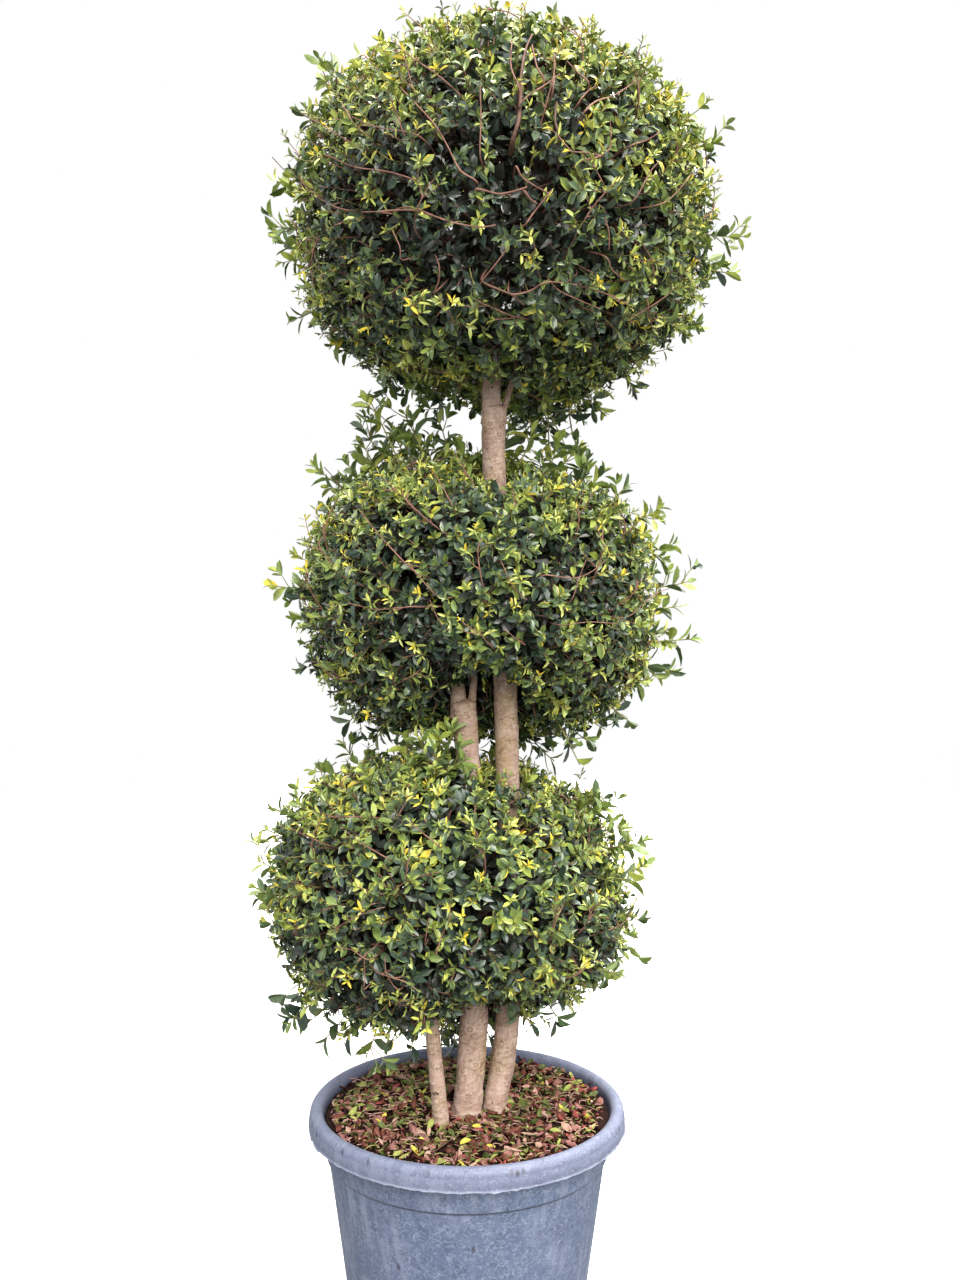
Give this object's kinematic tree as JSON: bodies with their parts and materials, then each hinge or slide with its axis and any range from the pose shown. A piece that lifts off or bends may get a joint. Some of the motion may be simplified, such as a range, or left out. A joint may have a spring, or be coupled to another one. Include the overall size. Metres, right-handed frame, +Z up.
{
  "type": "potted privet triple ball topiary",
  "caption": "Clipped evergreen privet on bare stems, its leaves in stacked balls, growing in a round tapered nursery pot with a rolled rim.",
  "frame": {"origin": "centre of the pot's flat underside, on the ground it stands on", "axes": "+Z up, -Y towards the side that the picture shows, +X to the right seen from there"},
  "size_m": [0.7483, 0.6857, 1.9381],
  "materials": {
    "pot_plastic": "weathered blue-grey plastic, fine pale scratches",
    "potting_mix": "rough, bark chips and fallen leaves",
    "bark": "matt, wrinkled, with round scars",
    "leaves": "glossy small leaves, yellow-green at the tips"
  },
  "bodies": {
    "root": {"pot": "pot_plastic", "soil": "potting_mix", "stem_top": "bark", "stem_middle": "bark", "stem_bottom": "bark", "bough_top_main": "bark", "bough_top_side": "bark", "bough_middle_left": "bark", "bough_middle_right": "bark", "foliage_top": "leaves", "foliage_middle": "leaves", "foliage_bottom": "leaves"}
  },
  "joints": []
}
